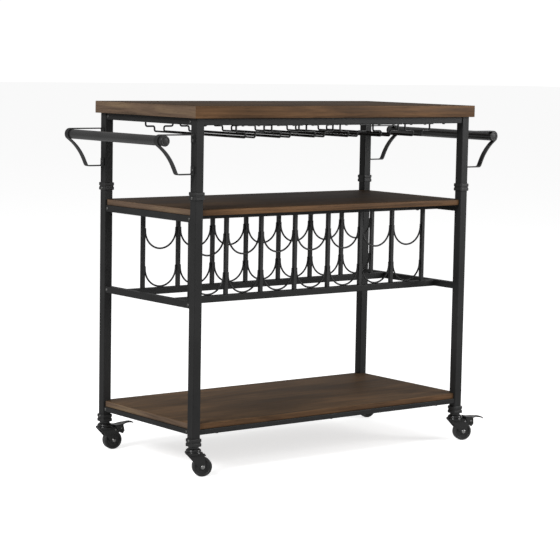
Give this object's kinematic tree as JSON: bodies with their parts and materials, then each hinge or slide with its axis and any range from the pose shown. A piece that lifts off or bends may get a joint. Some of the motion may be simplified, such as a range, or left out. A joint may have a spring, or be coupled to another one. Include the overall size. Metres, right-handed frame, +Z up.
{
  "type": "bar cart on wheels",
  "caption": "Industrial bar cart on swivel casters: wood boards on a black square-tube frame, a wine bottle rack, hanging stemware racks and a push handle at each end.",
  "frame": {"origin": "on the floor under the middle of the cart", "axes": "+X along the length of the cart, between the two push handles; +Y to the back; +Z up"},
  "size_m": [1.192, 0.4941, 0.971],
  "materials": {
    "wood": "rustic brown wood-grain board, satin",
    "black_steel": "charcoal-black powder coat, satin",
    "screw": "blackened steel, satin",
    "bright_steel": "zinc-plated steel",
    "wheel": "black moulded nylon",
    "caster_black": "gloss black coated pressed steel",
    "cap": "black moulded plastic"
  },
  "bodies": {
    "cart": {"top_board": "wood", "middle_shelf": "wood", "bottom_shelf": "wood", "lower_leg_front_left": "black_steel", "upper_leg_front_left": "black_steel", "lower_leg_front_right": "black_steel", "upper_leg_front_right": "black_steel", "lower_leg_back_left": "black_steel", "upper_leg_back_left": "black_steel", "lower_leg_back_right": "black_steel", "upper_leg_back_right": "black_steel", "bottom_end_rail_left": "black_steel", "bottom_end_rail_right": "black_steel", "rack_end_rail_left": "black_steel", "rack_end_rail_right": "black_steel", "middle_end_rail_left": "black_steel", "middle_end_rail_right": "black_steel", "top_end_rail_left": "black_steel", "top_end_rail_right": "black_steel", "bottom_rail_front": "black_steel", "top_rail_front": "black_steel", "rack_lower_rail_front": "black_steel", "rack_upper_rail_front": "black_steel", "rack_bars_front": "black_steel", "rack_cradles_front": "black_steel", "bottom_rail_back": "black_steel", "top_rail_back": "black_steel", "rack_lower_rail_back": "black_steel", "rack_upper_rail_back": "black_steel", "rack_bars_back": "black_steel", "rack_cradles_back": "black_steel", "glass_rack_1": "black_steel", "glass_rack_2": "black_steel", "glass_rack_3": "black_steel", "glass_rack_4": "black_steel", "glass_rack_5": "black_steel", "glass_rack_6": "black_steel", "handle_grip_left": "black_steel", "handle_straps_left": "black_steel", "handle_grip_right": "black_steel", "handle_straps_right": "black_steel", "handle_end_caps": "cap", "leg_collars": "black_steel", "frame_screws": "screw", "board_screws": "screw", "caster_stems": "caster_black"},
    "caster_front_left": {"caster_fork_front_left": "caster_black", "caster_axle_front_left": "bright_steel"},
    "wheel_front_left": {"caster_wheel_front_left": "wheel"},
    "caster_front_right": {"caster_fork_front_right": "caster_black", "caster_axle_front_right": "bright_steel"},
    "wheel_front_right": {"caster_wheel_front_right": "wheel"},
    "pedal_front_right": {"brake_pedal_front_right": "caster_black"},
    "caster_back_left": {"caster_fork_back_left": "caster_black", "caster_axle_back_left": "bright_steel"},
    "wheel_back_left": {"caster_wheel_back_left": "wheel"},
    "pedal_back_left": {"brake_pedal_back_left": "caster_black"},
    "caster_back_right": {"caster_fork_back_right": "caster_black", "caster_axle_back_right": "bright_steel"},
    "wheel_back_right": {"caster_wheel_back_right": "wheel"}
  },
  "joints": [
    {"name": "swivel_front_left", "type": "hinge", "parent": "cart", "child": "caster_front_left", "pos_m": [-0.465, -0.215, 0.07], "axis": [0, 0, 1], "continuous": true},
    {"name": "roll_front_left", "type": "hinge", "parent": "caster_front_left", "child": "wheel_front_left", "pos_m": [-0.44416, -0.22472, 0.026], "axis": [0.4226, 0.9063, 0], "continuous": true},
    {"name": "swivel_front_right", "type": "hinge", "parent": "cart", "child": "caster_front_right", "pos_m": [0.465, -0.215, 0.07], "axis": [0, 0, 1], "continuous": true},
    {"name": "roll_front_right", "type": "hinge", "parent": "caster_front_right", "child": "wheel_front_right", "pos_m": [0.48661, -0.22287, 0.026], "axis": [0.342, 0.9397, 0], "continuous": true},
    {"name": "brake_front_right", "type": "hinge", "parent": "caster_front_right", "child": "pedal_front_right", "pos_m": [0.49977, -0.22765, 0.058], "axis": [0.342, 0.9397, 0], "range_deg": [-10, 0]},
    {"name": "swivel_back_left", "type": "hinge", "parent": "cart", "child": "caster_back_left", "pos_m": [-0.465, 0.215, 0.07], "axis": [0, 0, 1], "continuous": true},
    {"name": "roll_back_left", "type": "hinge", "parent": "caster_back_left", "child": "wheel_back_left", "pos_m": [-0.44222, 0.2118, 0.026], "axis": [0.1392, 0.9903, 0], "continuous": true},
    {"name": "brake_back_left", "type": "hinge", "parent": "caster_back_left", "child": "pedal_back_left", "pos_m": [-0.42836, 0.20985, 0.058], "axis": [0.1392, 0.9903, 0], "range_deg": [0, 10]},
    {"name": "swivel_back_right", "type": "hinge", "parent": "cart", "child": "caster_back_right", "pos_m": [0.465, 0.215, 0.07], "axis": [0, 0, 1], "continuous": true},
    {"name": "roll_back_right", "type": "hinge", "parent": "caster_back_right", "child": "wheel_back_right", "pos_m": [0.48661, 0.20713, 0.026], "axis": [0.342, 0.9397, 0], "continuous": true}
  ]
}
